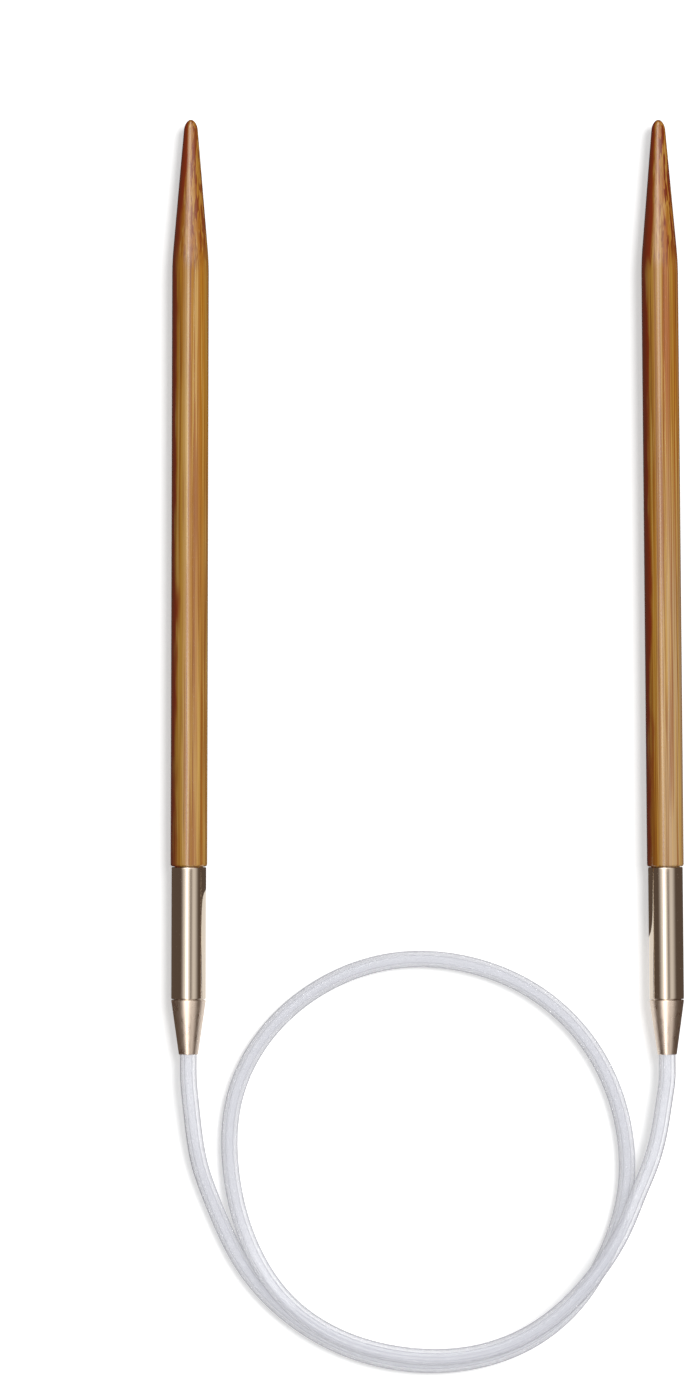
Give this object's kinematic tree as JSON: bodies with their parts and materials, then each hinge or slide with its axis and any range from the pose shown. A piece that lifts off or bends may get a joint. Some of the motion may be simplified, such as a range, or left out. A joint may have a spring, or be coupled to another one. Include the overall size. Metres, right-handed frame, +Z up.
{
  "type": "circular knitting needle",
  "caption": "Two bamboo knitting needles with swivelling metal ferrules, joined by a flexible clear tube cord, for knitting in the round.",
  "frame": {"origin": "on the surface the needles lie on, half way between the two needles and half way along them", "axes": "+Z up from that surface, +Y along the needles towards their tips, +X from the left needle to the right one"},
  "size_m": [0.077, 0.1881, 0.0055],
  "materials": {
    "bamboo": "lacquered, fine lengthwise fibre, glossy",
    "polished_ferrule": "polished pale champagne plating",
    "satin_ferrule": "satin turned, pale champagne plating",
    "collar_brass": "turned, unplated",
    "pin_steel": "turned",
    "clear_tube": "translucent milky nylon tube"
  },
  "bodies": {
    "cord": {"cord": "clear_tube", "left_swivel_collar": "collar_brass", "left_cord_pin": "pin_steel", "right_swivel_collar": "collar_brass", "right_cord_pin": "pin_steel"},
    "left_needle": {"left_needle_tip": "bamboo", "left_ferrule_barrel": "polished_ferrule", "left_ferrule_cone": "satin_ferrule"},
    "right_needle": {"right_needle_tip": "bamboo", "right_ferrule_barrel": "polished_ferrule", "right_ferrule_cone": "satin_ferrule"}
  },
  "joints": [
    {"name": "left_swivel", "type": "hinge", "parent": "cord", "child": "left_needle", "pos_m": [-0.03577, -0.0701, 0.00275], "axis": [0.0027, 1, 0], "continuous": true},
    {"name": "right_swivel", "type": "hinge", "parent": "cord", "child": "right_needle", "pos_m": [0.03605, -0.0701, 0.00275], "axis": [-0.0096, 1, 0], "continuous": true}
  ]
}
